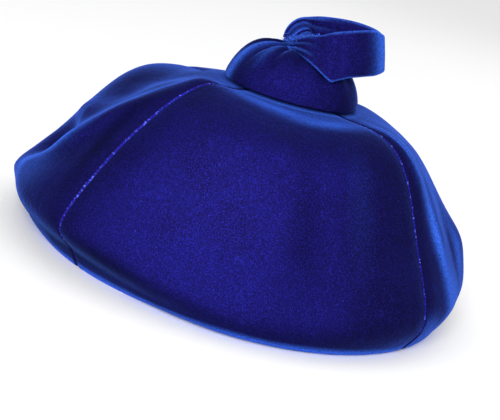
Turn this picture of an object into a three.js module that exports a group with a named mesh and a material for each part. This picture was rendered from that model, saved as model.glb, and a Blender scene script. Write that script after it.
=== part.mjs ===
// A velvet beret: four gores sewn into a round crown whose rim rolls under to the head opening,
// a padded button over the middle, and a loop of velvet strip gathered on top of the button.
// Millimetres, +Z up. The front of the hat faces -Y and the wearer's left is +X.
// The hat stands on the flattened underside of its rim, in the plane Z = 0.
import * as THREE from "three";

// Cloth and clearances
const CLOTH = 2.0; // velvet with its backing
const GAP = 0.3; // between neighbouring gores, and between pieces that touch

// Crown, by heights and radii of its outside
const CROWN_TOP = 88.0; // height at the button's edge
const BUTTON_EDGE = 34.0; // radius of the flat top that the button covers
const HUB_TOP = 88.5; // height at the small hole in the middle
const HUB_RADIUS = 4.0; // the gores' points stop at this hole, which the button covers
const CROWN_LEAN = 1.8; // the top of the crown stands this far towards the back
const FRONT_OVERHANG = 2.9; // the crown reaches this much further forwards than back, from its hub
const SOLE_OUTER = 101.0; // the rim rests on a flat ring between these two radii
const SOLE_INNER = 95.0;

// Head opening, an oval, with the cloth turned up inside it
const HEAD_LONG = 92.0; // half its length, front to back
const HEAD_WIDE = 84.0; // half its width, side to side
const HEM_HEIGHT = 12.0;
const HEM_BEND_HEIGHT = 6.0; // the turned-up cloth is upright from here
const HEM_BEND_START = { out: 1.5, height: 2.5 };
const HEM_LEAN = 0.5; // its edge leans this far inwards

// Seams, at azimuths measured from the front towards the wearer's left
const SEAM_AZIMUTHS = [43.5, 136.5, 225, 315];
const SEAM_DEPTH = 1.5;
const SEAM_SPREAD = 4.0;

// One row for each section through the crown, with [radius, height] of five points down the cloth
const SECTIONS = [
  { azimuth: 0, shoulder: [56.5, 84], high: [79.5, 76.5], low: [96, 54],
    widest: [115.5, 22], roll: [107.5, 3.5] },
  { azimuth: 45, shoulder: [58.5, 88], high: [79, 78], low: [101, 53.5],
    widest: [117.5, 22], roll: [107, 7] },
  { azimuth: 90, shoulder: [56.5, 84.5], high: [77, 74.5], low: [95, 52],
    widest: [114.5, 20], roll: [110.5, 2.6] },
  { azimuth: 135, shoulder: [60.5, 87], high: [78, 75], low: [94, 50],
    widest: [111.5, 20], roll: [106, 2.6] },
  { azimuth: 180, shoulder: [55.5, 83.5], high: [71.5, 73.5], low: [95.5, 47],
    widest: [108.5, 25.5], roll: [104, 7.5] },
  { azimuth: 225, shoulder: [56.5, 85.5], high: [76.5, 74], low: [94, 52],
    widest: [113.5, 22], roll: [106, 5.5] },
  { azimuth: 270, shoulder: [56, 84], high: [75.5, 73.5], low: [95.5, 52],
    widest: [114.5, 22], roll: [107.5, 5] },
  { azimuth: 315, shoulder: [55, 82], high: [80, 77.5], low: [98, 54.5],
    widest: [113, 22], roll: [105.5, 6.5] },
];
const STEPS_DOWN = [2, 3, 3, 3, 5, 4, 2, 1, 2, 1, 1]; // along the cloth, from the hub to the hem's edge
const SOLE_SPAN = 6; // the lifts of folds and seams end where this span begins

// One row for each soft fold: where it lies, how far it lifts the cloth (a hollow is below 0), how
// far it reaches across and along the cloth, and the degrees that it turns for each mm along
const FOLDS = [
  { name: "ridge from the button", azimuth: 39, along: 62, lift: 2.4, across: 9, length: 20, turn: -0.1 },
  { name: "ridge over the slope", azimuth: 30, along: 93, lift: 3, across: 8, length: 20, turn: -0.45 },
  { name: "ridge down to the rim", azimuth: 19, along: 125, lift: 2.4, across: 9, length: 20, turn: -0.2 },
  { name: "front hollow", azimuth: 2, along: 102, lift: -6, across: 15, length: 34, turn: 0 },
  { name: "hollow behind the ridge", azimuth: 4, along: 66, lift: -5, across: 20, length: 20, turn: 0 },
  { name: "front right swell", azimuth: -32, along: 112, lift: 6, across: 17, length: 28, turn: 0 },
  { name: "far shoulder", azimuth: -62, along: 64, lift: 1.5, across: 20, length: 16, turn: 0 },
  { name: "ridge beside a seam", azimuth: 143, along: 72, lift: 1.5, across: 5, length: 22, turn: 0 },
  { name: "back ridge", azimuth: 149, along: 114, lift: 1.6, across: 7, length: 24, turn: 0 },
  { name: "back hollow", azimuth: 160, along: 114, lift: -1.2, across: 7, length: 24, turn: 0 },
];
const LIFT_RADIUS = { from: 15, to: 45 }; // folds and seams fade out towards the button
const LIFT_HEIGHT = { from: 8, to: 20 }; // and towards the sole
// Shares of a gore's width at which its wall is worked out, closest beside the seams
const STEPS_ACROSS = [
  0, 0.02, 0.045, 0.09, 0.15, 0.22, 0.29, 0.36, 0.43, 0.5,
  0.57, 0.64, 0.71, 0.78, 0.85, 0.91, 0.955, 0.98, 1,
];

// Padded button over the middle of the crown
const BUTTON = { radius: 32.5, height: 22, y: 1.5, squareness: 2.5, rings: 9, sides: 40 };
const BUTTON_BASE = HUB_TOP + GAP;
const BUTTON_TUCK = [[2.5, 0], [0.7, 0.9]]; // [in from the edge, height] under its rounded edge
// Creases that its velvet draws into on the way to the top
const CREASES = [
  { azimuth: 20, depth: 1.6, spread: 16 },
  { azimuth: 75, depth: 0.8, spread: 14 },
  { azimuth: 140, depth: 1.2, spread: 18 },
  { azimuth: 215, depth: 1.0, spread: 16 },
  { azimuth: 290, depth: 1.2, spread: 18 },
];

// Loop of velvet strip standing on edge: its middle line, width, and the degrees by which its
// lower edge swings outwards. The first row is the point on the button where its ends are sewn.
const STRIP = { thickness: 2.6, rise: 20, stepsPerRow: 4 };
const LOOP = [
  { name: "gathered point", x: 0, y: -2.5, z: 113.8, width: 4.6, lean: 0 },
  { name: "left side leaving the button", x: 10, y: 0, z: 115, width: 6.5, lean: 42 },
  { name: "left side opening out", x: 19, y: 5, z: 115.9, width: 13.5, lean: 36 },
  { name: "left side at full width", x: 23, y: 13.5, z: 114.8, width: 22.5, lean: 24 },
  { name: "left side", x: 15, y: 28, z: 116.6, width: 21.5, lean: 12 },
  { name: "fold at the end", x: 5, y: 37.4, z: 118.8, width: 21, lean: 2 },
  { name: "end of the right side", x: -4, y: 37, z: 119, width: 21, lean: 0 },
  { name: "right side", x: -11, y: 20, z: 118.4, width: 20, lean: 0 },
  { name: "right side drawn together", x: -10.5, y: 3, z: 119, width: 13, lean: 0 },
  { name: "coil at the gathers", x: -5, y: -6.5, z: 116, width: 9, lean: 0 },
];

const VELVET = { color: 0x1c1a82, roughness: 0.95, metalness: 0 };

// Numbers and curves
const clamp01 = (value) => Math.min(Math.max(value, 0), 1);
const smooth = (value) => value * value * (3 - 2 * value);
const radians = THREE.MathUtils.degToRad;
const bell = (distance, spread) => Math.exp(-((distance / spread) ** 2));

// Smooth curve through b and c, with a and d as their neighbours
function through(a, b, c, d, t) {
  const linear = c - a;
  const square = 2 * a - 5 * b + 4 * c - d;
  const cube = 3 * b - a - 3 * c + d;
  return 0.5 * (2 * b + linear * t + square * t * t + cube * t ** 3);
}

// Signed degrees from one azimuth to another, the short way round
function turnTo(azimuth, other) {
  return THREE.MathUtils.euclideanModulo(azimuth - other + 180, 360) - 180;
}

// Crown
function sectionPoint(key, azimuth) {
  const count = SECTIONS.length;
  const place = (THREE.MathUtils.euclideanModulo(azimuth, 360) / 360) * count;
  const row = Math.floor(place);
  const near = [-1, 0, 1, 2].map((k) => SECTIONS[(row + k + count) % count][key]);
  return [0, 1].map((axis) => through(...near.map((point) => point[axis]), place - row));
}

function headRadius(azimuth) {
  const long = HEAD_LONG * Math.sin(radians(azimuth));
  const wide = HEAD_WIDE * Math.cos(radians(azimuth));
  return (HEAD_LONG * HEAD_WIDE) / Math.hypot(long, wide);
}

// The points that one section of the crown passes through, from the hub to the hem's edge
function sectionKnots(azimuth) {
  const head = headRadius(azimuth);
  return [
    [HUB_RADIUS, HUB_TOP],
    [BUTTON_EDGE, CROWN_TOP],
    ...["shoulder", "high", "low", "widest", "roll"].map((key) => sectionPoint(key, azimuth)),
    [SOLE_OUTER, 0],
    [SOLE_INNER, 0],
    [head + HEM_BEND_START.out, HEM_BEND_START.height],
    [head, HEM_BEND_HEIGHT],
    [head - HEM_LEAN, HEM_HEIGHT],
  ];
}

function samplePath(knots) {
  const beyond = (end, next) => [2 * end[0] - next[0], 2 * end[1] - next[1]];
  const path = [beyond(knots[0], knots[1]), ...knots, beyond(knots.at(-1), knots.at(-2))];
  const stations = [];
  STEPS_DOWN.forEach((steps, span) => {
    const near = path.slice(span, span + 4);
    for (let k = 0; k < steps; k++) {
      const [r, z] = [0, 1].map((axis) => through(...near.map((p) => p[axis]), k / steps));
      stations.push({ r, z: Math.max(z, 0), span });
    }
  });
  const [r, z] = knots.at(-1);
  stations.push({ r, z, span: STEPS_DOWN.length });
  return stations;
}

function liftAt(azimuth, station) {
  if (station.span >= SOLE_SPAN) return 0;
  const { r, z, along } = station;
  const fromSeam = Math.min(...SEAM_AZIMUTHS.map((seam) => Math.abs(turnTo(azimuth, seam))));
  let lift = -SEAM_DEPTH * bell(radians(fromSeam) * r, SEAM_SPREAD);
  for (const fold of FOLDS) {
    const past = along - fold.along;
    const aside = radians(turnTo(azimuth, fold.azimuth + fold.turn * past)) * r;
    lift += fold.lift * bell(aside, fold.across) * bell(past, fold.length);
  }
  const nearTop = clamp01((r - LIFT_RADIUS.from) / (LIFT_RADIUS.to - LIFT_RADIUS.from));
  const nearSole = clamp01((z - LIFT_HEIGHT.from) / (LIFT_HEIGHT.to - LIFT_HEIGHT.from));
  return lift * nearTop * nearSole;
}

// Outward unit normal of a section at station k, in the plane of the section
function normalAt(stations, k) {
  const before = stations[Math.max(k - 1, 0)];
  const after = stations[Math.min(k + 1, stations.length - 1)];
  const length = Math.hypot(after.r - before.r, after.z - before.z);
  return { r: (before.z - after.z) / length, z: (after.r - before.r) / length };
}

function moved(stations, distanceAt) {
  return stations.map((station, k) => {
    const normal = normalAt(stations, k);
    const distance = distanceAt(station);
    const r = station.r + normal.r * distance;
    return { ...station, r, z: station.z + normal.z * distance };
  });
}

function crownSection(azimuth) {
  const plain = samplePath(sectionKnots(azimuth));
  let along = 0;
  plain.forEach((station, k) => {
    if (k > 0) along += Math.hypot(station.r - plain[k - 1].r, station.z - plain[k - 1].z);
    station.along = along;
  });
  const outside = moved(plain, (station) => liftAt(azimuth, station));
  const inside = moved(outside, () => -CLOTH);
  return { outside, inside };
}

// A gore is a wall: a grid of outside points, the same grid inside, and the edges between them
function goreGeometry(firstSeam, secondSeam) {
  const gore = secondSeam - firstSeam;
  const positions = [];
  const place = (station, share) => {
    const trim = THREE.MathUtils.radToDeg(Math.asin(GAP / 2 / station.r));
    const azimuth = radians(firstSeam + trim + share * (gore - 2 * trim));
    const lean = CROWN_LEAN * smooth(clamp01(station.z / CROWN_TOP));
    positions.push(station.r * Math.sin(azimuth), lean - station.r * Math.cos(azimuth), station.z);
  };
  for (const share of STEPS_ACROSS) {
    const { outside, inside } = crownSection(firstSeam + share * gore);
    outside.forEach((station) => place(station, share));
    inside.forEach((station) => place(station, share));
  }
  const across = STEPS_ACROSS.length - 1;
  const down = positions.length / 3 / (across + 1) / 2 - 1;
  const at = (i, j, wall) => (i * 2 + wall) * (down + 1) + j;
  const index = [];
  const quad = (a, b, c, d) => index.push(a, b, c, a, c, d);
  for (let i = 0; i < across; i++) {
    for (let j = 0; j < down; j++) {
      quad(at(i, j, 0), at(i, j + 1, 0), at(i + 1, j + 1, 0), at(i + 1, j, 0));
      quad(at(i, j, 1), at(i + 1, j, 1), at(i + 1, j + 1, 1), at(i, j + 1, 1));
    }
    quad(at(i, 0, 0), at(i + 1, 0, 0), at(i + 1, 0, 1), at(i, 0, 1));
    quad(at(i, down, 0), at(i, down, 1), at(i + 1, down, 1), at(i + 1, down, 0));
  }
  for (let j = 0; j < down; j++) {
    quad(at(0, j, 0), at(0, j, 1), at(0, j + 1, 1), at(0, j + 1, 0));
    quad(at(across, j, 0), at(across, j + 1, 0), at(across, j + 1, 1), at(across, j, 1));
  }
  return indexed(positions, index);
}

function indexed(positions, index) {
  const geometry = new THREE.BufferGeometry();
  geometry.setAttribute("position", new THREE.Float32BufferAttribute(positions, 3));
  geometry.setIndex(index);
  geometry.computeVertexNormals();
  return geometry;
}

// Button: rings from its flat underside to its top, closed by a point at each end
function buttonGeometry() {
  const { radius, height, squareness, rings, sides } = BUTTON;
  const profile = BUTTON_TUCK.map(([inwards, z]) => [radius - inwards, z]);
  for (let k = 1; k < rings; k++) {
    const angle = (Math.PI / 2) * (k / rings);
    const power = 2 / squareness;
    profile.push([radius * Math.cos(angle) ** power, height * Math.sin(angle) ** power]);
  }
  const positions = [0, 0, 0];
  for (const [r, z] of profile) {
    for (let side = 0; side < sides; side++) {
      const azimuth = (side / sides) * 360;
      const drawn = Math.sin(Math.PI * clamp01(z / height)) ** 0.5;
      const crease = CREASES.map((c) => c.depth * bell(turnTo(azimuth, c.azimuth), c.spread));
      const reach = r - drawn * crease.reduce((sum, depth) => sum + depth, 0) * (r / radius);
      positions.push(reach * Math.sin(radians(azimuth)), -reach * Math.cos(radians(azimuth)), z);
    }
  }
  const top = positions.length / 3;
  positions.push(0, 0, height);
  const index = [];
  const ring = (k, side) => 1 + k * sides + (side % sides);
  for (let side = 0; side < sides; side++) {
    index.push(0, ring(0, side + 1), ring(0, side));
    for (let k = 0; k + 1 < profile.length; k++) {
      index.push(ring(k, side), ring(k, side + 1), ring(k + 1, side + 1));
      index.push(ring(k, side), ring(k + 1, side + 1), ring(k + 1, side));
    }
    index.push(top, ring(profile.length - 1, side), ring(profile.length - 1, side + 1));
  }
  return indexed(positions, index);
}

// Loop: a flat, round-edged section carried once round the closed middle line
function loopGeometry() {
  const count = LOOP.length * STRIP.stepsPerRow;
  const column = (key, step) => {
    const place = (((step % count) + count) % count) / STRIP.stepsPerRow;
    const row = Math.floor(place);
    const near = [-1, 0, 1, 2].map((k) => LOOP[(row + k + LOOP.length) % LOOP.length][key]);
    return through(...near, place - row);
  };
  const middle = (step) => new THREE.Vector3(column("x", step), column("y", step), column("z", step));
  const upright = new THREE.Vector3(0, -Math.sin(radians(STRIP.rise)), Math.cos(radians(STRIP.rise)));
  const positions = [];
  const half = STRIP.thickness / 2;
  const round = half * 0.6;
  for (let step = 0; step < count; step++) {
    const along = middle(step + 0.5).sub(middle(step - 0.5)).normalize();
    const outwards = along.clone().cross(upright).normalize();
    const up = outwards.clone().cross(along).normalize();
    const lean = radians(column("lean", step));
    const wide = up.clone().multiplyScalar(Math.cos(lean)).addScaledVector(outwards, -Math.sin(lean));
    const thick = outwards.clone().multiplyScalar(Math.cos(lean)).addScaledVector(up, Math.sin(lean));
    const edge = column("width", step) / 2;
    const section = [
      [edge, round], [edge - round, half], [round - edge, half], [-edge, round],
      [-edge, -round], [round - edge, -half], [edge - round, -half], [edge, -round],
    ];
    for (const [w, t] of section) {
      const point = middle(step).addScaledVector(wide, w).addScaledVector(thick, t);
      positions.push(...point.toArray());
    }
  }
  const sides = 8;
  const index = [];
  const at = (step, side) => (step % count) * sides + (side % sides);
  for (let step = 0; step < count; step++) {
    for (let side = 0; side < sides; side++) {
      index.push(at(step, side), at(step, side + 1), at(step + 1, side + 1));
      index.push(at(step, side), at(step + 1, side + 1), at(step + 1, side));
    }
  }
  return indexed(positions, index);
}

// The hat
function velvetPiece(name, geometry, shade) {
  const material = new THREE.MeshStandardMaterial(VELVET);
  material.color.multiplyScalar(shade);
  const mesh = new THREE.Mesh(geometry, material);
  mesh.name = name;
  return mesh;
}

const beret = new THREE.Group();
beret.position.y = FRONT_OVERHANG; // the middle of the hat, seen from above, is over the origin
const crown = new THREE.Group();
const GORE_NAMES = ["crown_gore_left", "crown_gore_back", "crown_gore_right", "crown_gore_front"];
GORE_NAMES.forEach((name, k) => {
  const nextSeam = SEAM_AZIMUTHS[k + 1] ?? SEAM_AZIMUTHS[0] + 360;
  crown.add(velvetPiece(name, goreGeometry(SEAM_AZIMUTHS[k], nextSeam), 1));
});
beret.add(crown);

const button = velvetPiece("crown_button", buttonGeometry(), 0.9);
button.position.set(0, BUTTON.y, BUTTON_BASE);
beret.add(button);

beret.add(velvetPiece("ribbon_loop", loopGeometry(), 1.1));

export default beret;
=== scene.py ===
import math
import random
import bpy
from mathutils import Matrix, Vector, noise


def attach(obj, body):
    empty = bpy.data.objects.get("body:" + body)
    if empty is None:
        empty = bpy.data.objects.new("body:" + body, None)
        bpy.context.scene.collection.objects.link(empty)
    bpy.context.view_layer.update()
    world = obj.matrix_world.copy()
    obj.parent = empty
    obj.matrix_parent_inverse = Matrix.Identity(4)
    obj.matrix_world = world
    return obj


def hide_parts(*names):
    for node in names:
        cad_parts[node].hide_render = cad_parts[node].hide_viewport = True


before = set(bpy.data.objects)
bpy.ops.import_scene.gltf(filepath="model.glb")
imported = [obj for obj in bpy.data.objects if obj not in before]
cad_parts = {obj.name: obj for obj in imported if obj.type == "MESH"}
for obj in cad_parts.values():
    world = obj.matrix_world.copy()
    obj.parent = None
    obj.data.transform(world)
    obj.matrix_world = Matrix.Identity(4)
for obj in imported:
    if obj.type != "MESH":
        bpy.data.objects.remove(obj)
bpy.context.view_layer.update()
scene = bpy.context.scene
scene.view_settings.view_transform = "Standard"
print("frame loaded")


# numbers and curves, in metres and degrees

def clamp01(value):
    return min(max(value, 0.0), 1.0)


def smooth(value):
    value = clamp01(value)
    return value * value * (3 - 2 * value)


def bell(distance, spread):
    return math.exp(-(distance / spread) ** 2)


def through(a, b, c, d, t):  # smooth curve from b to c, with a and d as their neighbours
    curve = 2 * a - 5 * b + 4 * c - d
    return 0.5 * (2 * b + (c - a) * t + curve * t ** 2 + (3 * b - a - 3 * c + d) * t ** 3)


def turnTo(azimuth, other):  # signed degrees between two azimuths, the short way round
    return (azimuth - other + 180) % 360 - 180


def lumps(point, size, seed):  # soft unevenness of that size, from -1 to 1
    return noise.noise(point / size + Vector((seed * 7.3, seed * 3.1, seed * 5.7)))


# small jobs in Blender

def select(piece):
    bpy.ops.object.select_all(action="DESELECT")
    piece.select_set(True)
    bpy.context.view_layer.objects.active = piece


def applyModifier(piece, modifier):
    select(piece)
    bpy.ops.object.modifier_apply(modifier=modifier.name)


def joinPieces(pieces, name):
    select(pieces[0])
    for piece in pieces:
        piece.select_set(True)
    bpy.ops.object.join()
    joined = bpy.context.object
    joined.name = name
    bpy.ops.object.transform_apply(location=True, rotation=True, scale=True)
    return joined


def smoothShade(piece, degrees=40):
    select(piece)
    bpy.ops.object.shade_smooth_by_angle(angle=math.radians(degrees))


def faceOutwards(piece):
    select(piece)
    bpy.ops.object.mode_set(mode="EDIT")
    bpy.ops.mesh.select_all(action="SELECT")
    bpy.ops.mesh.remove_doubles(threshold=0.00001)
    bpy.ops.mesh.normals_make_consistent(inside=False)
    bpy.ops.object.mode_set(mode="OBJECT")


def giveMaterials(piece, *materials):
    piece.data.materials.clear()
    for material in materials:
        piece.data.materials.append(material)


def keepValues(piece, name, values):  # one number for each vertex, for the material to read
    kept = piece.data.attributes.new(name, "FLOAT", "POINT")
    kept.data.foreach_set("value", values)


# velvet, and the cloth that backs it

velvetLook = {
    "deepBlue": (0.0060, 0.0044, 0.074),
    "nightBlue": (0.0048, 0.0030, 0.042),
    "brightBlue": (0.0120, 0.0140, 0.220),
    "sparkle": (0.0350, 0.0500, 0.420),
    "patchSize": 0.034,
    "patchRange": (0.25, 0.62),
    "crushSize": 0.0050,
    "crushRange": (0.56, 1.00),
    "grainSize": 0.00055,
    "grainRange": (0.44, 0.84),
    "sparkleSize": 0.00090,
    "sparkleRange": (0.72, 0.86),
    "bumps": {"patch": (0.25, 0.0030), "crush": (0.30, 0.0007), "grain": (0.60, 0.00025)},
    "turnedAway": (0.06, 0.40),
    "turnedShade": 0.52,
    "softShine": (0.021, 0.036, 0.250),
    "softShare": 0.70,
    "softPower": 3.4,
    "edgeShine": (0.046, 0.165, 0.920),
    "edgeShare": 0.95,
    "edgePower": 9.0,
    "sheen": 0.06,
    "sheenRoughness": 0.28,
    "sheenTint": (0.12, 0.30, 1.0, 1.0),
    "roughness": 0.85,
    "specular": 0.02,
    "seamShadow": (0.0004, 0.0026),
    "seamDusk": 0.0140,
    "seamShade": 0.82,
    # how strong the painted highlights and the painted shade set on the crown, button and loop are
    "paintedShineShare": 0.90,
    "paintedShineGrain": (0.10, 0.62),
    "paintedShadeDim": 0.38,
    "speckles": (0.56, 0.36),
    "speckleShade": 0.72,
}


def newMaterial(name):
    material = bpy.data.materials.new(name)
    material.use_nodes = True
    nodes = material.node_tree.nodes
    links = material.node_tree.links
    return material, nodes, links, nodes["Principled BSDF"]


def lumpTexture(nodes, links, coordinates, size, detail=2.0, distortion=0.0):
    texture = nodes.new("ShaderNodeTexNoise")
    texture.inputs["Scale"].default_value = 1 / size
    texture.inputs["Detail"].default_value = detail
    texture.inputs["Distortion"].default_value = distortion
    links.new(coordinates, texture.inputs["Vector"])
    return texture.outputs["Fac"]


def between(nodes, links, value, low, high, kind="SMOOTHSTEP"):  # 0 below low, 1 above high
    ranged = nodes.new("ShaderNodeMapRange")
    ranged.interpolation_type = kind
    ranged.inputs["From Min"].default_value = low
    ranged.inputs["From Max"].default_value = high
    links.new(value, ranged.inputs["Value"])
    return ranged.outputs["Result"]


def mixColours(nodes, links, share, first, second):
    mix = nodes.new("ShaderNodeMix")
    mix.data_type = "RGBA"
    links.new(share, mix.inputs[0])
    for socket, colour in ((mix.inputs[6], first), (mix.inputs[7], second)):
        if isinstance(colour, tuple):
            socket.default_value = (*colour, 1)
        else:
            links.new(colour, socket)
    return mix.outputs[2]


def dim(nodes, links, share, colour, value):  # the colour, darker by that value where share is 1
    darker = nodes.new("ShaderNodeHueSaturation")
    darker.inputs["Value"].default_value = value
    links.new(colour, darker.inputs["Color"])
    return mixColours(nodes, links, share, colour, darker.outputs["Color"])


def atPower(nodes, links, value, power, share):
    raised = nodes.new("ShaderNodeMath")
    raised.operation = "POWER"
    links.new(value, raised.inputs[0])
    raised.inputs[1].default_value = power
    return between(nodes, links, raised.outputs["Value"], 0.0, 1 / share, "LINEAR")


def bumpChain(nodes, links, shader, layers):  # layers of (height, strength, distance)
    normal = None
    for height, strength, distance in layers:
        bump = nodes.new("ShaderNodeBump")
        bump.inputs["Strength"].default_value = strength
        bump.inputs["Distance"].default_value = distance
        links.new(height, bump.inputs["Height"])
        if normal:
            links.new(normal, bump.inputs["Normal"])
        normal = bump.outputs["Normal"]
    links.new(normal, shader.inputs["Normal"])
    return normal


def makeVelvet(name, look, shade=1.0):
    material, nodes, links, shader = newMaterial(name)
    place = nodes.new("ShaderNodeTexCoord").outputs["Object"]
    patches = lumpTexture(nodes, links, place, look["patchSize"], 3, 0.6)
    crush = lumpTexture(nodes, links, place, look["crushSize"], 3, 1.2)
    grain = lumpTexture(nodes, links, place, look["grainSize"], 2)
    sparkle = lumpTexture(nodes, links, place, look["sparkleSize"], 1)
    seam = nodes.new("ShaderNodeAttribute")
    seam.attribute_name = "seamDistance"
    bumps = look["bumps"]
    normal = bumpChain(nodes, links, shader, [
        (patches, *bumps["patch"]), (crush, *bumps["crush"]), (grain, *bumps["grain"])])
    facing = nodes.new("ShaderNodeLayerWeight")  # velvet shines where the pile is seen from the side
    links.new(normal, facing.inputs["Normal"])
    aside = facing.outputs["Facing"]
    keys = ("nightBlue", "deepBlue", "brightBlue", "sparkle", "softShine", "edgeShine")
    tints = {key: tuple(part * shade for part in look[key]) for key in keys}
    colour = mixColours(nodes, links, between(nodes, links, patches, *look["patchRange"]),
                        tints["nightBlue"], tints["deepBlue"])
    for share, tint in ((between(nodes, links, crush, *look["crushRange"]), "brightBlue"),
                        (between(nodes, links, grain, *look["grainRange"]), "brightBlue"),
                        (between(nodes, links, sparkle, *look["sparkleRange"]), "sparkle")):
        colour = mixColours(nodes, links, share, colour, tints[tint])
    colour = dim(nodes, links, between(nodes, links, seam.outputs["Fac"], look["seamDusk"], 0.0),
                 colour, look["seamShade"])
    colour = dim(nodes, links, between(nodes, links, aside, *look["turnedAway"]), colour, look["turnedShade"])
    for key in ("soft", "edge"):
        share = atPower(nodes, links, aside, look[key + "Power"], look[key + "Share"])
        colour = mixColours(nodes, links, share, colour, tints[key + "Shine"])
    paintedShine = nodes.new("ShaderNodeAttribute")  # above 0 a painted highlight in the edge shine colour, below 0 painted shade
    paintedShine.attribute_name = "paintedShine"
    colour = dim(nodes, links, between(nodes, links, paintedShine.outputs["Fac"], 0.0, -1.0), colour,
                 look["paintedShadeDim"])
    speckled = nodes.new("ShaderNodeMath")
    speckled.operation = "MULTIPLY"
    links.new(paintedShine.outputs["Fac"], speckled.inputs[0])
    links.new(between(nodes, links, grain, *look["paintedShineGrain"], "LINEAR"), speckled.inputs[1])
    share = between(nodes, links, speckled.outputs["Value"], 0.0, 1 / look["paintedShineShare"], "LINEAR")
    colour = mixColours(nodes, links, share, colour, tints["edgeShine"])
    colour = dim(nodes, links, between(nodes, links, grain, *look["speckles"]), colour,
                 look["speckleShade"])
    colour = mixColours(nodes, links, between(nodes, links, seam.outputs["Fac"], *look["seamShadow"]),
                        tints["nightBlue"], colour)
    links.new(colour, shader.inputs["Base Color"])
    shader.inputs["Roughness"].default_value = look["roughness"]
    shader.inputs["Specular IOR Level"].default_value = look["specular"]
    shader.inputs["Sheen Weight"].default_value = look["sheen"]
    shader.inputs["Sheen Roughness"].default_value = look["sheenRoughness"]
    shader.inputs["Sheen Tint"].default_value = look["sheenTint"]
    return material


backingLook = {
    "cloth": (0.012, 0.014, 0.085),
    "thread": (0.020, 0.026, 0.140),
    "weaveSize": 0.0007,
    "weaveRange": (0.1, 0.8),
    "weaveBump": (0.5, 0.0002),
    "waveScale": 20,
    "unevenness": 0.4,
    "roughness": 0.75,
    "specular": 0.2,
}


def makeBacking(look):
    material, nodes, links, shader = newMaterial("velvetBacking")
    place = nodes.new("ShaderNodeTexCoord").outputs["UV"]
    heights = []
    for turn in (0, math.pi / 2):
        turned = nodes.new("ShaderNodeMapping")
        turned.inputs["Rotation"].default_value = (0, 0, turn)
        links.new(place, turned.inputs["Vector"])
        wave = nodes.new("ShaderNodeTexWave")
        wave.inputs["Scale"].default_value = 1 / look["weaveSize"] / look["waveScale"]
        wave.inputs["Distortion"].default_value = look["unevenness"]
        links.new(turned.outputs["Vector"], wave.inputs["Vector"])
        heights.append(wave.outputs["Fac"])
    weave = nodes.new("ShaderNodeMath")
    weave.operation = "MULTIPLY"
    links.new(heights[0], weave.inputs[0])
    links.new(heights[1], weave.inputs[1])
    woven = weave.outputs["Value"]
    colour = mixColours(nodes, links, between(nodes, links, woven, *look["weaveRange"]),
                        look["cloth"], look["thread"])
    links.new(colour, shader.inputs["Base Color"])
    shader.inputs["Roughness"].default_value = look["roughness"]
    shader.inputs["Specular IOR Level"].default_value = look["specular"]
    bumpChain(nodes, links, shader, [(woven, *look["weaveBump"])])
    return material


threadLook = {
    "colour": (0.014, 0.016, 0.330),
    "dark": (0.006, 0.006, 0.120),
    "glint": (0.080, 0.120, 0.660),
    "strandSize": 0.0005,
    "strandRange": (0.35, 0.65),
    "strandBump": (0.5, 0.0001),
    "glintSize": 0.0013,
    "glintRange": (0.56, 0.70),
    "roughness": 0.75,
    "specular": 0.02,
}


def makeThread(look):
    material, nodes, links, shader = newMaterial("sewingThread")
    place = nodes.new("ShaderNodeTexCoord").outputs["Object"]
    strands = lumpTexture(nodes, links, place, look["strandSize"], 2)
    glints = lumpTexture(nodes, links, place, look["glintSize"], 1)
    colour = mixColours(nodes, links, between(nodes, links, strands, *look["strandRange"]),
                        look["dark"], look["colour"])
    colour = mixColours(nodes, links, between(nodes, links, glints, *look["glintRange"]), colour,
                        look["glint"])
    links.new(colour, shader.inputs["Base Color"])
    shader.inputs["Roughness"].default_value = look["roughness"]
    shader.inputs["Specular IOR Level"].default_value = look["specular"]
    bumpChain(nodes, links, shader, [(strands, *look["strandBump"])])
    return material


crownVelvet = makeVelvet("crownVelvet", velvetLook)
buttonVelvet = makeVelvet("buttonVelvet", velvetLook, 0.95)
loopVelvet = makeVelvet("loopVelvet", velvetLook, 0.95)
velvetBacking = makeBacking(backingLook)
sewingThread = makeThread(threadLook)
print("materials made")


# crown of four gores, whose rim rolls under to the head opening

crown = {
    "cloth": 0.0020,
    "gap": 0.0001,
    "top": 0.0880,
    "buttonEdge": 0.034,
    "hubTop": 0.0885,
    "hubRadius": 0.004,
    "lean": 0.0018,
    "overhang": 0.0029,
    "soleOuter": 0.101,
    "soleInner": 0.095,
    "headLong": 0.092,
    "headWide": 0.084,
    "hemHeight": 0.012,
    "hemBendHeight": 0.006,
    "hemBendStart": (0.0015, 0.0025),
    "hemLean": 0.0005,
    "seams": (43.5, 136.5, 225, 315),
    "seamDepth": 0.0006,
    "seamSpread": 0.0040,
    "seamPinch": 0.0007,
    "seamPinchSpread": 0.0005,
    "allowance": 0.0075,
    "allowanceEdge": 0.0006,
    "allowanceHeight": 0.0007,
    "liftRadius": (0.015, 0.045),
    "liftHeight": (0.008, 0.020),
    "stepsDown": (2, 3, 3, 3, 5, 4, 2, 1, 2, 1, 1),
    "soleSpan": 6,
    "rowsPerStep": 6,
    "columns": 110,
    "crowding": 0.80,
    "unevenness": ((0.034, 0.0004, 1), (0.013, 0.0001, 2)),
}
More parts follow.
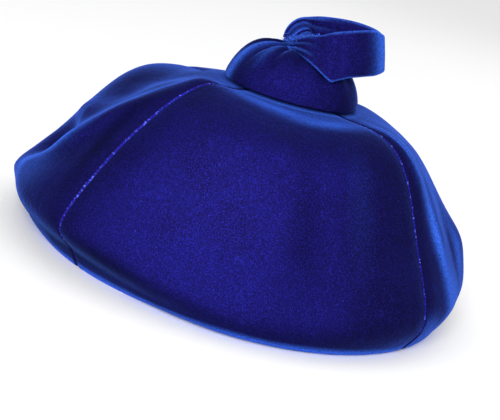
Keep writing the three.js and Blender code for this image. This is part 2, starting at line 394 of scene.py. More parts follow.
sections = [  # radius and height of five points down the cloth, at every 45 degrees
    {"shoulder": (0.0565, 0.0836), "high": (0.0790, 0.0755), "low": (0.0960, 0.0538),
     "widest": (0.1155, 0.0220), "roll": (0.1075, 0.0035)},  # front
    {"shoulder": (0.0580, 0.0872), "high": (0.0785, 0.0760), "low": (0.1000, 0.0530),
     "widest": (0.1175, 0.0220), "roll": (0.1066, 0.0078)},
    {"shoulder": (0.0565, 0.0845), "high": (0.0770, 0.0745), "low": (0.0950, 0.0520),
     "widest": (0.1145, 0.0200), "roll": (0.1103, 0.0028)},  # wearer's left
    {"shoulder": (0.0605, 0.0870), "high": (0.0780, 0.0750), "low": (0.0940, 0.0500),
     "widest": (0.1115, 0.0200), "roll": (0.1060, 0.0026)},
    {"shoulder": (0.0555, 0.0835), "high": (0.0715, 0.0735), "low": (0.0955, 0.0470),
     "widest": (0.1085, 0.0255), "roll": (0.1040, 0.0075)},  # back
    {"shoulder": (0.0565, 0.0855), "high": (0.0765, 0.0740), "low": (0.0940, 0.0520),
     "widest": (0.1135, 0.0220), "roll": (0.1060, 0.0055)},
    {"shoulder": (0.0560, 0.0840), "high": (0.0755, 0.0735), "low": (0.0955, 0.0520),
     "widest": (0.1145, 0.0220), "roll": (0.1075, 0.0050)},  # wearer's right
    {"shoulder": (0.0550, 0.0815), "high": (0.0795, 0.0760), "low": (0.0980, 0.0540),
     "widest": (0.1130, 0.0220), "roll": (0.1055, 0.0065)},
]
folds = [  # turn is how fast a fold slants, in degrees of azimuth for each metre down the cloth
    {"azimuth": 39, "along": 0.050, "lift": 0.0024, "across": 0.009, "length": 0.010, "turn": 0},
    {"azimuth": 38, "along": 0.068, "lift": 0.0008, "across": 0.008, "length": 0.014, "turn": -100},
    {"azimuth": 31, "along": 0.090, "lift": 0.0024, "across": 0.0075, "length": 0.015, "turn": -230},
    {"azimuth": 25, "along": 0.112, "lift": 0.0036, "across": 0.0080, "length": 0.012, "turn": -250},
    {"azimuth": 12, "along": 0.136, "lift": 0.0010, "across": 0.0090, "length": 0.012, "turn": -900},
    {"azimuth": 12, "along": 0.100, "lift": 0.0030, "across": 0.014, "length": 0.008, "turn": 0},
    {"azimuth": 9, "along": 0.119, "lift": -0.0095, "across": 0.013, "length": 0.013, "turn": -300},
    {"azimuth": 15, "along": 0.080, "lift": -0.0042, "across": 0.017, "length": 0.014, "turn": 0},
    {"azimuth": 2, "along": 0.142, "lift": 0.0022, "across": 0.011, "length": 0.014, "turn": 0},
    {"azimuth": -9, "along": 0.118, "lift": -0.0020, "across": 0.014, "length": 0.018, "turn": 0},
    {"azimuth": 4, "along": 0.066, "lift": -0.005, "across": 0.020, "length": 0.020, "turn": 0},
    {"azimuth": -32, "along": 0.112, "lift": 0.006, "across": 0.017, "length": 0.028, "turn": 0},
    {"azimuth": 168, "along": 0.112, "lift": 0.0032, "across": 0.016, "length": 0.013, "turn": 0},
    {"azimuth": -62, "along": 0.064, "lift": 0.0015, "across": 0.020, "length": 0.016, "turn": 0},
    {"azimuth": 143, "along": 0.072, "lift": 0.0015, "across": 0.005, "length": 0.022, "turn": 0},
    {"azimuth": 149, "along": 0.114, "lift": 0.0016, "across": 0.007, "length": 0.024, "turn": 0},
    {"azimuth": 160, "along": 0.114, "lift": -0.0012, "across": 0.007, "length": 0.024, "turn": 0},
]

shineAndShadeSpots = [  # painted highlight where the share is above 0, and painted shade below 0
    {"azimuth": 32, "along": 0.066, "share": 0.95, "across": 0.0015, "length": 0.030, "turn": -180},
    {"azimuth": 24, "along": 0.068, "share": -0.75, "across": 0.0070, "length": 0.026, "turn": -180},
    {"azimuth": 99, "along": 0.100, "share": -0.40, "across": 0.0100, "length": 0.026, "turn": 60},
    {"azimuth": 97, "along": 0.128, "share": -0.36, "across": 0.0150, "length": 0.022, "turn": 0},
    {"azimuth": 114, "along": 0.092, "share": 0.030, "across": 0.0120, "length": 0.026, "turn": 0},
    {"azimuth": 56, "along": 0.151, "share": -0.50, "across": 0.0260, "length": 0.007, "turn": 0},
    {"azimuth": 85, "along": 0.0315, "share": 0.70, "across": 0.0500, "length": 0.0014, "turn": 0},
    {"azimuth": 21, "along": 0.132, "share": 0.18, "across": 0.0140, "length": 0.012, "turn": 0},
    {"azimuth": 152, "along": 0.134, "share": 0.60, "across": 0.0110, "length": 0.011, "turn": 0},
    {"azimuth": 140, "along": 0.150, "share": 0.50, "across": 0.0110, "length": 0.006, "turn": 0},
    {"azimuth": 146, "along": 0.052, "share": -0.70, "across": 0.0010, "length": 0.012, "turn": 60},
    {"azimuth": 156, "along": 0.050, "share": -0.60, "across": 0.0016, "length": 0.012, "turn": 60},
    {"azimuth": 24, "along": 0.113, "share": 0.80, "across": 0.0032, "length": 0.010, "turn": -250},
    {"azimuth": 16, "along": 0.130, "share": 0.60, "across": 0.0045, "length": 0.010, "turn": -600},
    {"azimuth": 14, "along": 0.102, "share": 0.40, "across": 0.0030, "length": 0.009, "turn": 200},
    {"azimuth": 78, "along": 0.041, "share": 0.55, "across": 0.018, "length": 0.0045, "turn": 0},
    {"azimuth": 110, "along": 0.047, "share": 0.60, "across": 0.016, "length": 0.0045, "turn": 0},
    {"azimuth": 142, "along": 0.060, "share": 0.70, "across": 0.0011, "length": 0.018, "turn": 60},
    {"azimuth": 149, "along": 0.058, "share": 0.70, "across": 0.0016, "length": 0.018, "turn": 100},
    {"azimuth": 147, "along": 0.106, "share": 0.95, "across": 0.0046, "length": 0.028, "turn": 60},
    {"azimuth": 156, "along": 0.090, "share": 0.50, "across": 0.0055, "length": 0.026, "turn": 0},
    {"azimuth": 163, "along": 0.118, "share": 0.60, "across": 0.0050, "length": 0.020, "turn": 0},
    {"azimuth": 11, "along": 0.139, "share": 0.45, "across": 0.0080, "length": 0.008, "turn": 0},
    {"azimuth": 37, "along": 0.100, "share": -0.75, "across": 0.0060, "length": 0.040, "turn": 30},
    {"azimuth": 50, "along": 0.095, "share": -0.40, "across": 0.0090, "length": 0.036, "turn": 0},
    {"azimuth": -12, "along": 0.044, "share": -0.62, "across": 0.0180, "length": 0.014, "turn": 0},
    {"azimuth": -2, "along": 0.076, "share": -0.40, "across": 0.0240, "length": 0.022, "turn": 0},
    {"azimuth": 129, "along": 0.112, "share": -0.06, "across": 0.0120, "length": 0.040, "turn": 0},
    {"azimuth": 158, "along": 0.112, "share": -0.32, "across": 0.0030, "length": 0.026, "turn": 60},
]


rimShineAndShade = {  # along the rolled rim: painted shade above, and a painted highlight where it turns under
    "darkHeight": 0.0095,
    "darkSpread": 0.0060,
    "darkShare": -0.12,
    "darkestShare": -0.82,
    "darkest": (35, 28),
    "lightHeight": 0.0004,
    "lightSpread": 0.0030,
    "lightShare": 1.15,
}


# painted highlight above 0 and painted shade below 0 at a point of the crown, from the rim band and the spot
# list
def paintedShineAt(azimuth, station):
    along, height = station["along"], station["point"].z
    total = 0.0
    if station["span"] >= crown["soleSpan"] - 1:
        middle, spread = rimShineAndShade["darkest"]
        dark = rimShineAndShade["darkShare"] + rimShineAndShade["darkestShare"] * bell(turnTo(azimuth, middle), spread)
        total += dark * bell(height - rimShineAndShade["darkHeight"], rimShineAndShade["darkSpread"])
        total += rimShineAndShade["lightShare"] * bell(height - rimShineAndShade["lightHeight"], rimShineAndShade["lightSpread"])
    for crush in shineAndShadeSpots:
        past = along - crush["along"]
        off = math.radians(turnTo(azimuth, crush["azimuth"] + crush["turn"] * past)) * along
        total += crush["share"] * bell(off, crush["across"]) * bell(past, crush["length"])
    return max(-1.0, min(total, 1.0))


def sectionPoint(key, azimuth):
    place = (azimuth % 360) / 360 * len(sections)
    row = math.floor(place)
    near = [sections[(row + k) % len(sections)][key] for k in (-1, 0, 1, 2)]
    return tuple(through(*[point[axis] for point in near], place - row) for axis in (0, 1))


def sectionKnots(azimuth):
    turn = math.radians(azimuth)
    head = crown["headLong"] * crown["headWide"] / math.hypot(
        crown["headLong"] * math.sin(turn), crown["headWide"] * math.cos(turn))
    keys = ("shoulder", "high", "low", "widest", "roll")
    return [
        (crown["hubRadius"], crown["hubTop"]), (crown["buttonEdge"], crown["top"]),
        *[sectionPoint(key, azimuth) for key in keys],
        (crown["soleOuter"], 0), (crown["soleInner"], 0),
        (head + crown["hemBendStart"][0], crown["hemBendStart"][1]),
        (head, crown["hemBendHeight"]), (head - crown["hemLean"], crown["hemHeight"]),
    ]


def plainSection(azimuth):  # stations down the cloth, from the hub to the hem's edge
    knots = sectionKnots(azimuth)
    first = [2 * knots[0][axis] - knots[1][axis] for axis in (0, 1)]
    last = [2 * knots[-1][axis] - knots[-2][axis] for axis in (0, 1)]
    path = [first, *knots, last]
    stations = []
    for span, steps in enumerate(crown["stepsDown"]):
        fine = steps * crown["rowsPerStep"]
        for k in range(fine):
            r, z = [through(*[p[axis] for p in path[span:span + 4]], k / fine) for axis in (0, 1)]
            stations.append({"r": r, "z": max(z, 0.0), "span": span})
    stations.append({"r": knots[-1][0], "z": knots[-1][1], "span": len(crown["stepsDown"])})
    along = 0.0
    for k, station in enumerate(stations):
        if k:
            along += math.hypot(station["r"] - stations[k - 1]["r"], station["z"] - stations[k - 1]["z"])
        station["along"] = along
    return stations


def foldFade(station):  # 1 on the open crown, 0 under the button and at the sole
    if station["span"] >= crown["soleSpan"]:
        return 0.0
    low, high = crown["liftRadius"]
    bottom, above = crown["liftHeight"]
    nearTop = clamp01((station["r"] - low) / (high - low))
    return nearTop * clamp01((station["z"] - bottom) / (above - bottom))


def foldLift(azimuth, station):
    fromSeam = min(abs(turnTo(azimuth, seam)) for seam in crown["seams"])
    aside = math.radians(fromSeam) * station["r"]
    lift = -crown["seamDepth"] * bell(aside, crown["seamSpread"])
    for fold in folds:
        past = station["along"] - fold["along"]
        off = math.radians(turnTo(azimuth, fold["azimuth"] + fold["turn"] * past)) * station["r"]
        lift += fold["lift"] * bell(off, fold["across"]) * bell(past, fold["length"])
    return lift * foldFade(station)


def stationNormal(stations, k):
    before = stations[max(k - 1, 0)]
    after = stations[min(k + 1, len(stations) - 1)]
    length = math.hypot(after["r"] - before["r"], after["z"] - before["z"])
    return (before["z"] - after["z"]) / length, (after["r"] - before["r"]) / length


def placeAt(r, z, azimuth):
    turn = math.radians(azimuth)
    lean = crown["lean"] * smooth(z / crown["top"]) + crown["overhang"]
    return Vector((r * math.sin(turn), lean - r * math.cos(turn), z))


def crownColumn(azimuth):  # outside points, their outward normals, and the way along the cloth
    plain = plainSection(azimuth)
    moved = []
    for k, station in enumerate(plain):
        r, z = station["r"], station["z"]
        out, up = stationNormal(plain, k)
        lift = foldLift(azimuth, station)
        point = placeAt(r + out * lift, z + up * lift, azimuth)
        normal = placeAt(r + out, z, azimuth) - placeAt(r, z, azimuth)
        normal.z = up
        fade = foldFade(station)
        for size, height, seed in crown["unevenness"]:
            point += normal * lumps(point, size, seed) * height * fade
        moved.append({"point": point, "normal": normal, "along": station["along"], "r": r,
                      "span": station["span"]})
    return moved


def makeGore(name, node, firstSeam, secondSeam):
    rows = sum(crown["stepsDown"]) * crown["rowsPerStep"]
    columns = crown["columns"]
    bpy.ops.object.select_all(action="DESELECT")
    bpy.ops.mesh.primitive_grid_add(x_subdivisions=columns, y_subdivisions=rows, size=1)
    gore = bpy.context.object
    gore.name = name
    width = secondSeam - firstSeam
    columnOf = {}
    fromSeam = []
    normals = []
    paintedShine = []
    for vertex in gore.data.vertices:
        column = round((vertex.co.x + 0.5) * columns)
        row = round((0.5 - vertex.co.y) * rows)
        if column not in columnOf:
            even = column / columns
            share = even - crown["crowding"] * math.sin(2 * math.pi * even) / (2 * math.pi)
            columnOf[column] = (share, crownColumn(firstSeam + share * width))
        share, points = columnOf[column]
        station = points[row]
        trim = math.degrees(crown["gap"] / 2 / station["r"])
        side = (1 - 2 * share) * trim  # the edges stand clear of the next gore by half the gap
        turned = Matrix.Rotation(math.radians(side), 4, "Z")
        middle = Vector((0, crown["overhang"], 0))
        vertex.co = turned @ (station["point"] - middle) + middle
        fromSeam.append(math.radians(min(share, 1 - share) * width) * station["r"])
        normals.append(station["normal"])
        paintedShine.append(paintedShineAt(firstSeam + share * width, station))
    outer = len(gore.data.vertices)
    solid = gore.modifiers.new("wall", "SOLIDIFY")
    solid.thickness = crown["cloth"]
    solid.offset = -1
    applyModifier(gore, solid)
    total = len(gore.data.vertices)
    for vertex in gore.data.vertices:
        away = fromSeam[vertex.index % outer]
        normal = normals[vertex.index % outer]
        if vertex.index < outer:
            vertex.co -= normal * crown["seamPinch"] * math.exp(-away / crown["seamPinchSpread"])
        else:
            edge = smooth((crown["allowance"] - away) / crown["allowanceEdge"])
            vertex.co -= normal * crown["allowanceHeight"] * edge
    keepValues(gore, "seamDistance", [fromSeam[k % outer] for k in range(total)])
    # painted highlight and painted shade for each vertex, for the velvet to read
    keepValues(gore, "paintedShine", [paintedShine[k % outer] for k in range(total)])
    giveMaterials(gore, crownVelvet, velvetBacking)
    for face in gore.data.polygons:
        if all(k >= outer for k in face.vertices):
            face.material_index = 1
    smoothShade(gore, 50)
    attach(gore, "root")
    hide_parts(node)
    return gore


seams = crown["seams"]
for k, (name, node) in enumerate((("goreLeft", "crown_gore_left"), ("goreBack", "crown_gore_back"),
                                  ("goreRight", "crown_gore_right"), ("goreFront", "crown_gore_front"))):
    following = seams[k + 1] if k + 1 < len(seams) else seams[0] + 360
    makeGore(name, node, seams[k], following)
    print("gore made:", name)


# seam stitches, showing as small beads of thread between the gores

stitch = {
    "length": 0.0019,
    "width": 0.0020,
    "height": 0.0010,
    "widths": (1.0, 0.4, 0.6, 0.6),
    "spacing": 0.0017,
    "from": 0.040,
    "to": 0.158,
    "full": (0.030, 0.025),
    "least": 0.45,
    "sizes": (0.75, 1.1),
    "slant": 26,
    "rise": 0.00040,
    "seed": 11,
}


def makeStitches():
    random.seed(stitch["seed"])
    bpy.ops.object.select_all(action="DESELECT")
    bpy.ops.mesh.primitive_uv_sphere_add(segments=8, ring_count=6, radius=0.5)
    bead = bpy.context.object
    bead.scale = (stitch["width"], stitch["length"], stitch["height"])
    bpy.ops.object.transform_apply(location=False, rotation=False, scale=True)
    beads = []
    for seam, wide in zip(crown["seams"], stitch["widths"]):
        column = crownColumn(seam)
        count = int((stitch["to"] - stitch["from"]) / stitch["spacing"])
        for k in range(count):
            place = stitch["from"] + k * stitch["spacing"]
            row = next(n for n in range(1, len(column)) if column[n]["along"] > place)
            above, station = column[row - 1], column[row]
            step = (place - above["along"]) / (station["along"] - above["along"])
            point = above["point"].lerp(station["point"], step)
            down = (station["point"] - above["point"]).normalized()
            normal = station["normal"].normalized()
            side = down.cross(normal).normalized()
            sink = crown["seamPinch"] - stitch["rise"]
            copy = bead.copy()
            copy.data = bead.data.copy()
            scene.collection.objects.link(copy)
            turn = Matrix((side, down, normal)).transposed().to_4x4()
            tilt = random.uniform(-stitch["slant"], stitch["slant"]) * wide
            slant = Matrix.Rotation(math.radians(tilt), 4, "Z")
            shown = smooth((place - stitch["from"]) / stitch["full"][0])
            shown *= smooth((stitch["to"] - place) / stitch["full"][1])
            size = stitch["least"] + (1 - stitch["least"]) * shown * random.uniform(*stitch["sizes"])
            shape = Matrix.Diagonal((size * wide, (1 + size) / 2, size, 1))
            copy.matrix_world = Matrix.Translation(point - normal * sink) @ turn @ slant @ shape
            beads.append(copy)
    bpy.data.objects.remove(bead)
    joined = joinPieces(beads, "seamStitches")
    giveMaterials(joined, sewingThread)
    smoothShade(joined, 80)
    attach(joined, "root")
    return joined


seamStitches = makeStitches()
print("stitches made")


# padded button over the middle of the crown, its velvet drawn into creases towards the top

button = {
    "radius": 0.0325,
    "height": 0.0220,
    "middle": (0.0, 0.0044, 0.0888),
    "tuck": 0.0012,
    "edgeHeight": 0.0008,
    "segments": 160,
    "rings": 80,
    "edge": 0.66,
    "tucked": 0.72,
    "longer": 0.045,
    "dimple": 0.0006,
    "dimpleSpread": 0.005,
    "ripples": 19,
    "ripple": 0.0003,
    "rippleFrom": 0.004,
    "rippleSpread": 0.010,
    "creaseFrom": 0.16,
    "creaseFades": (0.42, 0.5),
    "pinned": (0.04, 0.7),
    "quality": 6,
    "pressure": 4.0,
    "tension": 20,
    "bending": 0.3,
    "frames": 20,
    "mostMove": 0.0012,
}
buttonProfile = [  # shares of the radius and the height, from the top to the edge
    (0.00, 0.965), (0.14, 0.985), (0.30, 1.000), (0.46, 0.985), (0.60, 0.925), (0.73, 0.800),
    (0.84, 0.620), (0.93, 0.390), (0.985, 0.160), (1.00, 0.000),
]
creases = [  # the first is a puff
    {"azimuth": 350, "depth": -0.0009, "spread": 34},
    {"azimuth": 4, "depth": 0.0012, "spread": 8},
    {"azimuth": 30, "depth": 0.0021, "spread": 7},
    {"azimuth": 58, "depth": 0.0015, "spread": 6},
    {"azimuth": 84, "depth": 0.0010, "spread": 8},
    {"azimuth": 116, "depth": 0.0014, "spread": 7},
    {"azimuth": 150, "depth": 0.0013, "spread": 9},
    {"azimuth": 184, "depth": 0.0012, "spread": 7},
    {"azimuth": 222, "depth": 0.0015, "spread": 9},
    {"azimuth": 262, "depth": 0.0012, "spread": 7},
    {"azimuth": 300, "depth": 0.0015, "spread": 9},
    {"azimuth": 336, "depth": 0.0012, "spread": 7},
]


def buttonOutline(share):  # share of the way from the top, 0, to the middle of the underside, 1
    radius, height = button["radius"], button["height"]
    edge, tucked = button["edge"], button["tucked"]
    low = button["edgeHeight"]
    if share <= edge:
        knots = [(-buttonProfile[1][0], buttonProfile[1][1]), *buttonProfile, (1.0, -0.16)]
        place = min(share / edge * (len(buttonProfile) - 1), len(buttonProfile) - 1.0001)
        row = max(math.floor(place), 0)
        r, z = [through(*[knots[row + k][axis] for k in range(4)], place - row) for axis in (0, 1)]
        return r * radius, low + z * (height - low)
    if share <= tucked:
        turn = (share - edge) / (tucked - edge) * math.pi / 2
        return radius - button["tuck"] * (1 - math.cos(turn)), low * (1 - math.sin(turn))
    return (radius - button["tuck"]) * (1 - share) / (1 - tucked), 0.0


def buttonPoint(azimuth, share):
    r, z = buttonOutline(share)
    if share < button["edge"]:
        before, after = buttonOutline(max(share - 0.01, 0)), buttonOutline(share + 0.01)
        length = math.hypot(after[0] - before[0], after[1] - before[1])
        out, up = (before[1] - after[1]) / length, (after[0] - before[0]) / length
        crease = sum(c["depth"] * bell(turnTo(azimuth, c["azimuth"]), c["spread"]) for c in creases)
        along = share / button["edge"]
        fades, over = button["creaseFades"]
        crease *= smooth(along / button["creaseFrom"]) * (1 - smooth((along - fades) / over))
        ripple = math.sin(math.radians(azimuth) * button["ripples"]) * button["ripple"]
        ripple *= bell(r, button["rippleSpread"])
        ripple *= smooth(r / button["rippleFrom"])
        inwards = crease + ripple + button["dimple"] * bell(r, button["dimpleSpread"])
        r, z = r - out * inwards, z - up * inwards
    turn = math.radians(azimuth)
    r *= 1 + button["longer"] * smooth(-math.cos(turn))
    return Vector((r * math.sin(turn), -r * math.cos(turn), z)) + Vector(button["middle"])


buttonShineAndShade = [  # painted highlight and painted shade as on the crown, from a share of the way down to the button's edge
    {"azimuth": 15, "spread": 7, "share": 0.80, "from": 0.1, "full": 0.3},
    {"azimuth": 44, "spread": 5, "share": 0.40, "around": 0.45, "full": 0.20},
    {"azimuth": -14, "spread": 17, "share": -0.75, "from": 0.1, "full": 0.2},
]


def buttonPaintedShine(azimuth, share):
    along = share / button["edge"]
    total = 0.0
    for pile in buttonShineAndShade:
        if "from" in pile:
            down = smooth((along - pile["from"]) / pile["full"])
        else:
            down = bell(along - pile["around"], pile["full"])
        total += pile["share"] * bell(turnTo(azimuth, pile["azimuth"]), pile["spread"]) * down
    return total


def inflate(piece, fixed):  # pressure fills the cloth out between its pinned points
    group = piece.vertex_groups.new(name="pinned")
    group.add(fixed, 1.0, "REPLACE")
    before = [vertex.co.copy() for vertex in piece.data.vertices]
    cloth = piece.modifiers.new("padding", "CLOTH")
    cloth.settings.quality = button["quality"]
    cloth.settings.use_pressure = True
    cloth.settings.uniform_pressure_force = button["pressure"]
    cloth.settings.tension_stiffness = button["tension"]
    cloth.settings.bending_stiffness = button["bending"]
    cloth.settings.vertex_group_mass = "pinned"
    cloth.settings.effector_weights.gravity = 0
    for k in range(1, button["frames"] + 1):
        scene.frame_set(k)
    applyModifier(piece, cloth)
    scene.frame_set(1)
    for vertex, start in zip(piece.data.vertices, before):
        move = vertex.co - start
        if move.length > button["mostMove"]:
            vertex.co = start + move * (button["mostMove"] / move.length)
    piece.vertex_groups.clear()


def makeButton():
    bpy.ops.object.select_all(action="DESELECT")
    bpy.ops.mesh.primitive_uv_sphere_add(
        segments=button["segments"], ring_count=button["rings"], radius=1)
    piece = bpy.context.object
    piece.name = "paddedButton"
    fixed = []
    paintedShine = []
    for vertex in piece.data.vertices:
        share = math.acos(max(-1.0, min(1.0, vertex.co.z))) / math.pi
        azimuth = math.degrees(math.atan2(vertex.co.x, -vertex.co.y))
        vertex.co = buttonPoint(azimuth, share)
        paintedShine.append(buttonPaintedShine(azimuth, share))
        if share < button["pinned"][0] or share > button["pinned"][1]:
            fixed.append(vertex.index)
    # the painted highlight and shade go to the button's velvet
    keepValues(piece, "paintedShine", paintedShine)
    inflate(piece, fixed)
    finer = piece.modifiers.new("finer", "SUBSURF")
    finer.levels = finer.render_levels = 1
    applyModifier(piece, finer)
    keepValues(piece, "seamDistance", [1.0] * len(piece.data.vertices))
    giveMaterials(piece, buttonVelvet)
    smoothShade(piece, 60)
    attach(piece, "root")
    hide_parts("crown_button")
    return piece


paddedButton = makeButton()
print("button made")


# loop of velvet strip folded double, standing on edge, gathered at one point on the button

loop = {
    "thickness": 0.0026,
    "wall": 0.0009,
    "stepsPerRow": 17,
    "sides": 72,
    "squareness": 0.55,
    "middlePuff": 0.86,
    "edgePuff": 0.22,
    "pleats": 3.0,
    "pleatDepth": 0.0009,
    "drawnThickness": 0.0016,
    "straightSpans": (2, 3),
    "rounding": 0.10,
    "slopeReach": 0.15,
    "waviness": ((0.011, 0.0006, 5), (0.004, 0.00018, 6)),
    # painted highlights: where they start on the strip's edges, how strong and uneven they are, and at the
    # far fold and the pleat crests
    "upperEdge": 0.84,
    "lowerEdge": 0.91,
    "edgeHighlight": 0.65,
    "edgeHighlightNoise": (0.6, 0.005, 9),
    "foldHighlight": 0.85,
    "pleatHighlight": 0.80,
    "foldPlace": 6.60,
    "foldSpread": 0.70,
}
loopRows = [  # the strip's two edges on its way round, and how far it is drawn into pleats there
    {"upper": (0.0070, -0.0002, 0.1146), "lower": (0.0100, 0.0010, 0.1098), "pleat": 1.00},  # gather
    {"upper": (0.0110, 0.0049, 0.1179), "lower": (0.0205, 0.0047, 0.1093), "pleat": 0.35},
    {"upper": (0.0135, 0.0107, 0.1208), "lower": (0.0248, 0.0115, 0.1065), "pleat": 0.00},
    {"upper": (0.0150, 0.0161, 0.1239), "lower": (0.0270, 0.0192, 0.1022), "pleat": 0.00},  # corner
    {"upper": (0.0150, 0.0219, 0.1261), "lower": (0.0225, 0.0263, 0.1053), "pleat": 0.00},
    {"upper": (0.0120, 0.0289, 0.1280), "lower": (0.0165, 0.0341, 0.1072), "pleat": 0.00},
    {"upper": (0.0075, 0.0353, 0.1290), "lower": (0.0095, 0.0410, 0.1086), "pleat": 0.00},
    {"upper": (0.0005, 0.0404, 0.1271), "lower": (0.0015, 0.0451, 0.1107), "pleat": 0.00},  # far fold
    {"upper": (-0.0055, 0.0367, 0.1285), "lower": (-0.0050, 0.0367, 0.1085), "pleat": 0.00},
    {"upper": (-0.0095, 0.0285, 0.1290), "lower": (-0.0090, 0.0285, 0.1090), "pleat": 0.00},
    {"upper": (-0.0115, 0.0184, 0.1282), "lower": (-0.0095, 0.0179, 0.1112), "pleat": 0.10},
    {"upper": (-0.0115, 0.0085, 0.1263), "lower": (-0.0055, 0.0080, 0.1123), "pleat": 0.40},
    {"upper": (-0.0100, 0.0008, 0.1232), "lower": (-0.0010, 0.0067, 0.1180), "pleat": 0.80},
    {"upper": (-0.0070, -0.0035, 0.1188), "lower": (0.0025, 0.0025, 0.1164), "pleat": 1.00},  # coil
    {"upper": (-0.0025, -0.0046, 0.1134), "lower": (0.0050, -0.0004, 0.1114), "pleat": 1.00},
]


def loopEdge(key, place):
    row = math.floor(place)
    near = [Vector(loopRows[(row + k) % len(loopRows)][key]) for k in (-1, 0, 1, 2)]
    if key == "lower" and row % len(loopRows) in loop["straightSpans"]:  # they meet in the corner
        return near[1].lerp(near[2], place - row)
    return through(*near, place - row)


def loopFrame(place):
    spread = (-loop["rounding"], 0, loop["rounding"])
    low = sum((loopEdge("lower", place + step) for step in spread), Vector()) / 3
    high = loopEdge("upper", place)
    return (low + high) / 2, high - low


def loopPoint(place, side):  # side turns once round the strip's section, from 0 to 1
    middle, wide = loopFrame(place)
    reach = loop["slopeReach"]
    before, after = loopFrame(place - reach)[0], loopFrame(place + reach)[0]
    width = wide.length
    wide.normalize()
    thick = (after - before).cross(wide).normalized()
    row = math.floor(place)
    pleats = [loopRows[(row + k) % len(loopRows)]["pleat"] for k in (0, 1)]
    drawn = pleats[0] + (pleats[1] - pleats[0]) * smooth(place - row)
    turn = 2 * math.pi * side
    across = math.copysign(abs(math.cos(turn)) ** loop["squareness"], math.cos(turn))
    depth = math.copysign(abs(math.sin(turn)) ** loop["squareness"], math.sin(turn))
    puffy = loop["middlePuff"] + loop["edgePuff"] * across ** 6
    half = (loop["thickness"] + loop["drawnThickness"] * drawn) / 2 * puffy
    pleat = math.sin(math.pi * loop["pleats"] * across) * loop["pleatDepth"] * drawn * (1 - across ** 4)
    point = middle + wide * across * width / 2 + thick * (depth * half + pleat)
    for size, height, seed in loop["waviness"]:
        point += thick * lumps(point, size, seed) * height * (1 - drawn)
    # painted highlights along the strip's edges, uneven along their length, at the far fold and on the pleat
    # crests
    narrow = loop["upperEdge"] if across > 0 else loop["lowerEdge"]
    unevenly, size, seed = loop["edgeHighlightNoise"]
    unevenHighlight = loop["edgeHighlight"] * (1 + unevenly * lumps(point, size, seed))
    edge = unevenHighlight * smooth((abs(across) - narrow) / (1 - narrow))
    atFold = bell(place - loop["foldPlace"], loop["foldSpread"]) * loop["foldHighlight"]
    atPleats = drawn * max(0.0, math.sin(math.pi * loop["pleats"] * across)) * loop["pleatHighlight"]
    return point, min(edge + atFold + atPleats, 1.0)


def makeLoop():
    steps = len(loopRows) * loop["stepsPerRow"]
    sides = loop["sides"]
    bpy.ops.object.select_all(action="DESELECT")
    bpy.ops.mesh.primitive_torus_add(major_segments=steps, minor_segments=sides)
    piece = bpy.context.object
    piece.name = "velvetLoop"
    paintedShine = []
    for vertex in piece.data.vertices:
        step, side = divmod(vertex.index, sides)
        vertex.co, share = loopPoint(step / loop["stepsPerRow"], side / sides)
        paintedShine.append(share)
    keepValues(piece, "paintedShine", paintedShine)
    faceOutwards(piece)
    wall = piece.modifiers.new("doubled strip", "SOLIDIFY")
    wall.thickness = loop["wall"]
    wall.offset = -1
    applyModifier(piece, wall)
    keepValues(piece, "seamDistance", [1.0] * len(piece.data.vertices))
    giveMaterials(piece, loopVelvet)
    smoothShade(piece, 60)
    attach(piece, "root")
    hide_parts("ribbon_loop")
    return piece


velvetLoop = makeLoop()
print("loop made")


# frayed pile along the gathered ends of the strip

tuft = {
    "fibres": 640,
    "length": (0.0009, 0.0026),
    "thickness": 0.00020,
    "corners": 5,
    "tip": 0.24,
    "places": (-0.75, 1.9),
    "towardsFirst": 1.3,
    "fromEdge": 0.05,
    "bunch": (-0.5, 0.40),
    "bunchSides": (0.02, 0.48),
    "lean": 0.7,
    "colour": (0.048, 0.140, 0.680),
    "root": (0.010, 0.020, 0.180),
    "tintSize": 0.0012,
    "tintRange": (0.38, 0.58),
    "roughness": 0.6,
    "specular": 0.1,
    "seed": 23,
}


def makeTuft():
    random.seed(tuft["seed"])
    bpy.ops.object.select_all(action="DESELECT")
    bpy.ops.mesh.primitive_cone_add(vertices=tuft["corners"], radius1=0.5, radius2=tuft["tip"] / 2,
                                    depth=1, location=(0, 0, 0.5))
    bpy.ops.object.transform_apply(location=True, rotation=False, scale=False)
    fibre = bpy.context.object
    fibres = []
    first, last = tuft["places"]
    lean = tuft["lean"]
    for k in range(tuft["fibres"]):
        if k % 2:
            place, side = random.uniform(*tuft["bunch"]), random.uniform(*tuft["bunchSides"])
        else:
            place = first + (last - first) * random.random() ** tuft["towardsFirst"]
            side = random.gauss(0, tuft["fromEdge"]) % 1
        root = loopPoint(place, side)[0]
        middle = loopFrame(place)[0]
        way = (root - middle).normalized() + Vector([random.uniform(-lean, lean) for axis in range(3)])
        length = random.uniform(*tuft["length"]) * (1 - 0.5 * smooth(place / 2))
        turn = way.to_track_quat("Z", "Y").to_matrix().to_4x4()
        size = Matrix.Diagonal((tuft["thickness"], tuft["thickness"], length, 1))
        copy = fibre.copy()
        copy.data = fibre.data.copy()
        scene.collection.objects.link(copy)
        copy.matrix_world = Matrix.Translation(root) @ turn @ size
        fibres.append(copy)
    bpy.data.objects.remove(fibre)
    joined = joinPieces(fibres, "gatherPile")
    material, nodes, links, shader = newMaterial("pileFibre")
    place = nodes.new("ShaderNodeTexCoord").outputs["Object"]
    tints = lumpTexture(nodes, links, place, tuft["tintSize"], 2)
    colour = mixColours(nodes, links, between(nodes, links, tints, *tuft["tintRange"]),
                        tuft["root"], tuft["colour"])
    links.new(colour, shader.inputs["Base Color"])
    shader.inputs["Roughness"].default_value = tuft["roughness"]
    shader.inputs["Specular IOR Level"].default_value = tuft["specular"]
    giveMaterials(joined, material)
    smoothShade(joined, 60)
    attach(joined, "root")
    return joined


gatherPile = makeTuft()
print("frayed pile made")


# floor, light and camera

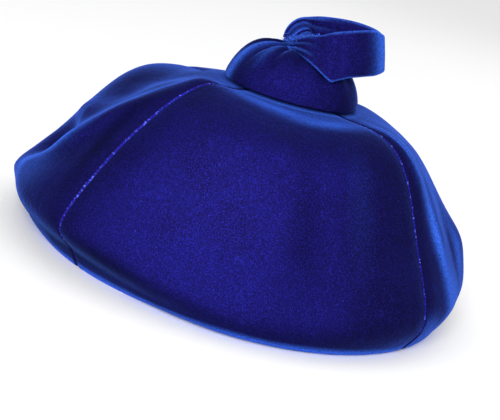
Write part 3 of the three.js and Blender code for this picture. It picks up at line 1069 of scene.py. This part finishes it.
studio = {
    "floorSize": 8.0,
    "floorHeight": -0.0002,
    "floorColour": (0.90, 0.90, 0.905),
    "floorMottle": 0.985,
    "floorMottleSize": 0.4,
    "floorRoughness": 0.9,
    "floorSpecular": 0.1,
    "world": 0.88,
    "keyPower": 16.0,
    "keySize": 0.6,
    "keyPlace": (1.25, -0.25, 0.62),
    "aim": (0, 0, 0.05),
    "fillPower": 4.0,
    "fillSize": 1.2,
    "fillPlace": (-0.9, 0.9, 1.1),
    "frontPower": 0.022,
    "frontSize": 0.06,
    "frontPlace": (0.62, 0.02, 0.30),
    "frontAim": (0.100, -0.022, 0.062),
    "frontSpread": 13,
}


def makeFloor():
    bpy.ops.object.select_all(action="DESELECT")
    bpy.ops.mesh.primitive_plane_add(size=studio["floorSize"], location=(0, 0, studio["floorHeight"]))
    floor = bpy.context.object
    floor.name = "floor"
    material, nodes, links, shader = newMaterial("paleFloor")
    place = nodes.new("ShaderNodeTexCoord").outputs["Object"]
    mottle = lumpTexture(nodes, links, place, studio["floorMottleSize"], 2)
    dimmer = tuple(part * studio["floorMottle"] for part in studio["floorColour"])
    colour = mixColours(nodes, links, mottle, studio["floorColour"], dimmer)
    links.new(colour, shader.inputs["Base Color"])
    shader.inputs["Roughness"].default_value = studio["floorRoughness"]
    shader.inputs["Specular IOR Level"].default_value = studio["floorSpecular"]
    giveMaterials(floor, material)


def makeLight(name, place, size, power, target=studio["aim"], spread=180):
    bpy.ops.object.light_add(type="AREA", location=place)
    light = bpy.context.object
    light.name = name
    light.data.shape = "DISK"
    light.data.size = size
    light.data.energy = power
    light.data.spread = math.radians(spread)
    aim = Vector(target) - Vector(place)
    light.rotation_euler = aim.to_track_quat("-Z", "Y").to_euler()


camera = {
    "azimuth": 85,
    "elevation": 13.4,
    "roll": 16,
    "distance": 0.600,
    "target": (0, 0.0029, 0.045),
    "lens": 87.55,
    "sensor": 36,
    "shiftX": -0.0238,
    "shiftY": -0.0696,
    "nearest": 0.01,
}


def makeCamera():
    side, rise, roll = [math.radians(camera[key]) for key in ("azimuth", "elevation", "roll")]
    back = Vector((math.sin(side) * math.cos(rise), -math.cos(side) * math.cos(rise), math.sin(rise)))
    right = Vector((math.cos(side), math.sin(side), 0))
    up = back.cross(right)
    rolledRight = right * math.cos(roll) + up * math.sin(roll)
    rolledUp = up * math.cos(roll) - right * math.sin(roll)
    place = Vector(camera["target"]) + back * camera["distance"]
    bpy.ops.object.camera_add(location=place)
    eye = bpy.context.object
    eye.name = "camera"
    turn = Matrix((rolledRight, rolledUp, back)).transposed().to_4x4()
    eye.matrix_world = Matrix.Translation(place) @ turn
    eye.data.sensor_width = camera["sensor"]
    eye.data.lens = camera["lens"]
    eye.data.shift_x = camera["shiftX"]
    eye.data.shift_y = camera["shiftY"]
    eye.data.clip_start = camera["nearest"]
    scene.camera = eye


def makeWorld():
    world = scene.world or bpy.data.worlds.new("studio")
    scene.world = world
    world.use_nodes = True
    sky = world.node_tree.nodes["Background"]
    sky.inputs["Color"].default_value = (1, 1, 1, 1)
    sky.inputs["Strength"].default_value = studio["world"]


makeFloor()
makeWorld()
makeLight("key", studio["keyPlace"], studio["keySize"], studio["keyPower"])
makeLight("fill", studio["fillPlace"], studio["fillSize"], studio["fillPower"])
makeLight("front", studio["frontPlace"], studio["frontSize"], studio["frontPower"],
          studio["frontAim"], studio["frontSpread"])
makeCamera()
print("studio made")
